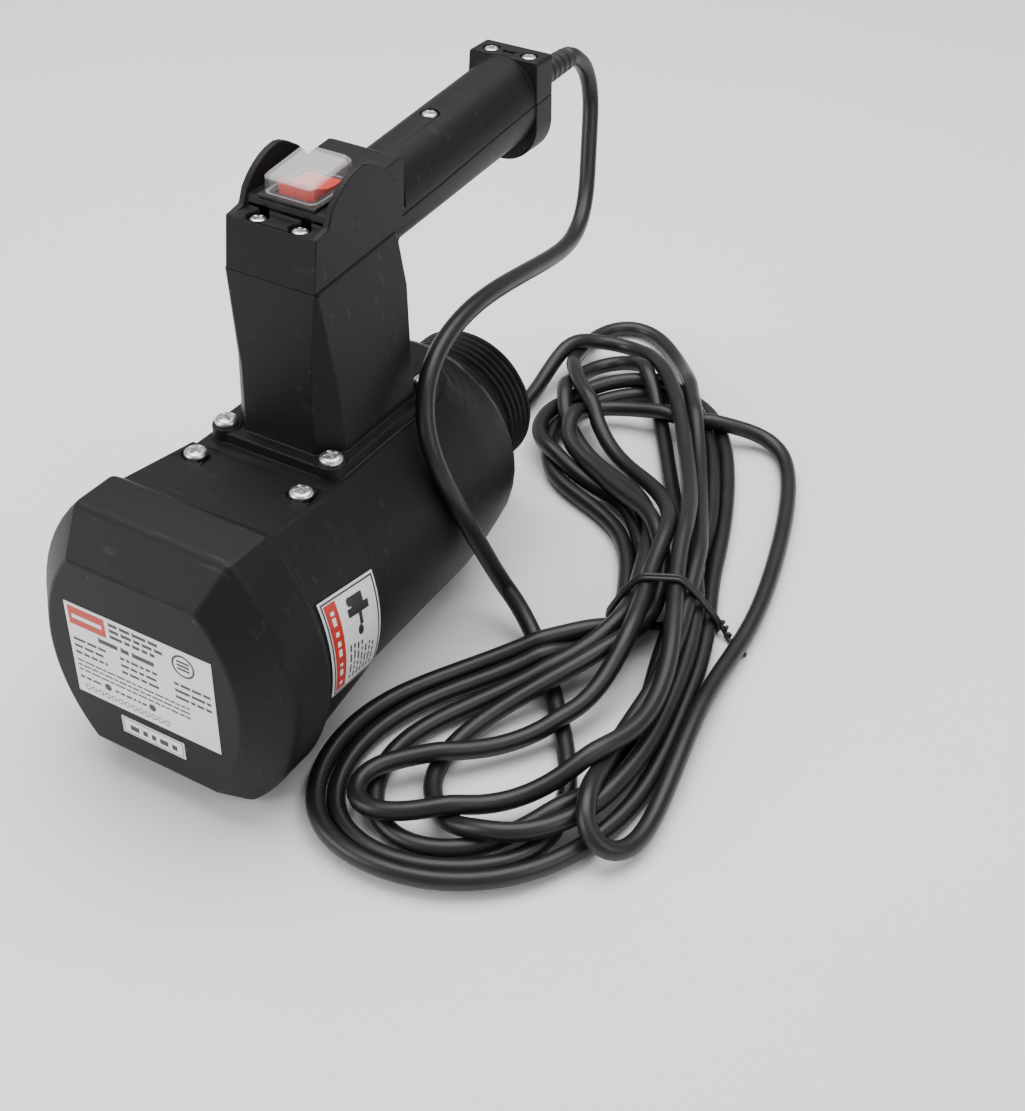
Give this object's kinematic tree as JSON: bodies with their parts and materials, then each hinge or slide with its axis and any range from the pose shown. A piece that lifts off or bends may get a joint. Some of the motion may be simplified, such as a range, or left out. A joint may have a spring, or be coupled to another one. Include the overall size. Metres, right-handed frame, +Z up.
{
  "type": "drum pump motor head",
  "caption": "Hand-held electric drive head for a drum pump: motor with threaded neck and drive coupling, side grip, rocker switch under a clear boot, hanked mains lead.",
  "frame": {"origin": "bottom centre of the motor head's box (lead, hank and plug left out), on the surface it lies on", "axes": "+Z up; +Y from the cap's flat face towards the threaded neck, in the upright plane of the motor axis; +X to the right seen from the cap"},
  "size_m": [0.2835, 0.4144, 0.2194],
  "materials": {
    "black_plastic": "fine mould grain, satin",
    "zinc_screw": "bright zinc plate",
    "label": "printed film",
    "gasket": "matt",
    "switch_black": "semi-gloss",
    "clear_boot": "clear, slightly milky",
    "red_rocker": "gloss",
    "brass": "bright",
    "lead_insulation": "satin",
    "dark_nylon": "satin",
    "relief_rubber": "satin",
    "bearing_steel": "ground",
    "lamination": "varnished sheet",
    "copper": "enamelled copper",
    "carbon": "matt",
    "coupling_steel": "turned",
    "cord_jacket": "satin jacket",
    "tie_black": "satin",
    "plug_black": "moulded"
  },
  "bodies": {
    "motor_head": {"motor_cap": "black_plastic", "cap_screws": "zinc_screw", "motor_housing": "black_plastic", "threaded_flange": "black_plastic", "shoulder_screws": "zinc_screw", "rating_label": "label", "serial_label": "label", "side_label": "label", "stem_gasket": "gasket", "stem_screws": "zinc_screw", "handle_lower": "black_plastic", "handle_upper": "black_plastic", "handle_screws": "zinc_screw", "switch_body": "switch_black", "switch_bezel": "switch_black", "switch_boot": "clear_boot", "switch_terminals": "brass", "internal_leads": "lead_insulation", "cord_clamp": "dark_nylon", "strain_relief": "relief_rubber", "bearing_bracket": "dark_nylon", "rear_bearing": "bearing_steel", "front_bearing": "bearing_steel", "stator_core": "lamination", "stator_screws": "zinc_screw", "field_coils": "copper", "brush_holders": "brass", "carbon_brushes": "carbon", "brush_springs": "bearing_steel", "cord_lead": "cord_jacket", "cord_hank_front": "cord_jacket", "cord_hank_back": "cord_jacket", "cord_tail": "cord_jacket", "cord_tie": "tie_black", "plug_body": "plug_black", "plug_blades": "brass"},
    "rotor": {"armature_shaft": "bearing_steel", "armature_core": "lamination", "armature_windings": "copper", "commutator": "copper", "cooling_fan": "dark_nylon", "drive_coupling": "coupling_steel"},
    "rocker": {"switch_rocker": "red_rocker"}
  },
  "joints": [
    {"name": "rotor_spin", "type": "hinge", "parent": "motor_head", "child": "rotor", "pos_m": [0, -0.04534, 0.05533], "axis": [0, 0.9985, -0.0542], "continuous": true},
    {"name": "rocker_tilt", "type": "hinge", "parent": "motor_head", "child": "rocker", "pos_m": [0, -0.03666, 0.20588], "axis": [1, 0, 0], "range_deg": [0, 24]}
  ]
}
